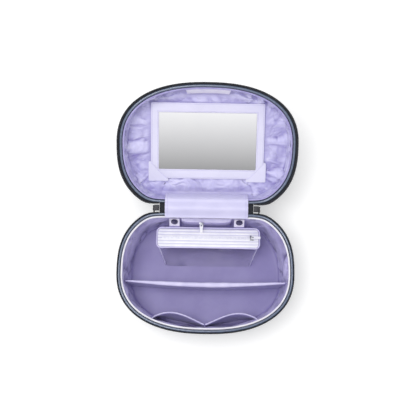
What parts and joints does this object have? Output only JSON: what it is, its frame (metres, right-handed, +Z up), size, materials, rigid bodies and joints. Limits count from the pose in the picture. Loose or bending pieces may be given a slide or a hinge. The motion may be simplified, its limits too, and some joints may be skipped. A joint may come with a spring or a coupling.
{
  "type": "beauty case",
  "caption": "Oval hard-shell beauty case lying open: deep base with divider, pockets and clear zip pouch, and a hinged lid with a framed mirror and a carrying handle.",
  "frame": {"origin": "centre of the base shell's flat underside, 3.3 mm above the plane of its feet", "axes": "+Z up, +Y from the base towards its hinge and the opened lid, +X to the right seen from the front"},
  "size_m": [0.33, 0.4441, 0.2197],
  "materials": {
    "shell_blue": "glossy dark blue moulded plastic",
    "piping_blue": "glossy blue grey piping",
    "black_cloth": "matt black woven tape",
    "zip_coil": "matt black zip coil",
    "welt": "pale corded welt",
    "leatherette": "smooth lilac leatherette",
    "mirror": "mirror-silvered acrylic",
    "padded_board": "lilac satin over padded board",
    "clear_vinyl": "clear soft vinyl",
    "white_cloth": "white ribbed cloth",
    "white_zip_coil": "white zip coil",
    "gunmetal": "dark polished metal",
    "steel": "plain brushed metal",
    "foot_rubber": "matt black rubber",
    "grip": "satin dark blue plastic",
    "inner_plastic": "plain grey plastic",
    "hardboard": "plain hardboard",
    "lining_satin": "crinkled lilac satin"
  },
  "bodies": {
    "base": {"base_shell": "shell_blue", "base_board": "hardboard", "base_lining": "lining_satin", "base_rim_piping": "piping_blue", "base_lining_welt": "welt", "base_zip_tape": "black_cloth", "base_zip_coil": "zip_coil", "hinge_cloth": "black_cloth", "hinge_flap": "leatherette", "divider_panel": "lining_satin", "divider_binding": "lining_satin", "front_pocket_left": "lining_satin", "front_pocket_right": "lining_satin", "back_pocket_panel": "lining_satin", "back_pocket_zip": "lining_satin", "pouch_body": "clear_vinyl", "pouch_top_panel": "white_cloth", "pouch_piping": "lining_satin", "pouch_zip_coil": "white_zip_coil", "pouch_tab_left": "lining_satin", "snap_stud_left": "gunmetal", "pouch_tab_right": "lining_satin", "snap_stud_right": "gunmetal", "zip_slider_left": "steel", "zip_slider_right": "steel", "foot_rear_left": "foot_rubber", "foot_rear_right": "foot_rubber", "foot_front_left": "foot_rubber", "foot_front_right": "foot_rubber"},
    "lid": {"lid_shell": "shell_blue", "lid_lining": "lining_satin", "lid_rim_piping": "piping_blue", "lid_lining_welt": "welt", "lid_zip_tape": "black_cloth", "lid_zip_coil": "zip_coil", "mirror_platform": "padded_board", "mirror_frame": "leatherette", "mirror_glass": "mirror", "corner_pocket_left": "leatherette", "corner_pocket_right": "leatherette", "lid_cover_patch": "leatherette", "handle_bracket_left": "shell_blue", "handle_pin_left": "steel", "handle_screw_left": "steel", "handle_bracket_right": "shell_blue", "handle_pin_right": "steel", "handle_screw_right": "steel", "handle_backing_plate": "inner_plastic"},
    "handle": {"handle_grip": "grip"},
    "left_zip_puller": {"zip_puller_left": "steel"},
    "right_zip_puller": {"zip_puller_right": "steel"},
    "back_slider": {"back_pocket_slider": "steel"},
    "back_puller": {"back_pocket_puller": "white_cloth"},
    "pouch_slider": {"pouch_slider": "steel"},
    "pouch_puller": {"pouch_puller": "white_cloth"},
    "left_tab": {"snap_tab_left": "lining_satin", "snap_cap_left": "gunmetal"},
    "right_tab": {"snap_tab_right": "lining_satin", "snap_cap_right": "gunmetal"}
  },
  "joints": [
    {"name": "lid_hinge", "type": "hinge", "parent": "base", "child": "lid", "pos_m": [0, 0.117, 0.115], "axis": [1, 0, 0], "range_deg": [0, 154], "deforming": ["hinge_cloth", "hinge_flap"]},
    {"name": "handle_pivot", "type": "hinge", "parent": "lid", "child": "handle", "pos_m": [0, 0.25298, 0.1031], "axis": [1, 0, 0], "range_deg": [-60, 112]},
    {"name": "left_zip_puller_pivot", "type": "hinge", "parent": "base", "child": "left_zip_puller", "pos_m": [-0.0971, 0.117, 0.115], "axis": [0, 1, 0], "range_deg": [-8, 150]},
    {"name": "right_zip_puller_pivot", "type": "hinge", "parent": "base", "child": "right_zip_puller", "pos_m": [0.0971, 0.117, 0.115], "axis": [0, -1, 0], "range_deg": [-8, 150]},
    {"name": "back_pocket_zip", "type": "slide", "parent": "base", "child": "back_slider", "axis": [1, 0, 0], "range_m": [-0.028, 0.046]},
    {"name": "back_puller_pivot", "type": "hinge", "parent": "back_slider", "child": "back_puller", "pos_m": [-0.009, 0.0925, 0.0823], "axis": [-1, 0, 0], "range_deg": [-52, 60]},
    {"name": "pouch_zip", "type": "slide", "parent": "base", "child": "pouch_slider", "axis": [1, 0, 0], "range_m": [-0.165, 0]},
    {"name": "pouch_puller_pivot", "type": "hinge", "parent": "pouch_slider", "child": "pouch_puller", "pos_m": [0.0855, 0.07129, 0.07524], "axis": [0, -0.9701, 0.2425], "range_deg": [0, 188]},
    {"name": "left_tab_snap", "type": "hinge", "parent": "base", "child": "left_tab", "pos_m": [-0.0595, 0.10297, 0.085], "axis": [-1, 0, 0], "range_deg": [0, 100]},
    {"name": "right_tab_snap", "type": "hinge", "parent": "base", "child": "right_tab", "pos_m": [0.0615, 0.10295, 0.085], "axis": [-1, 0, 0], "range_deg": [0, 100]}
  ]
}
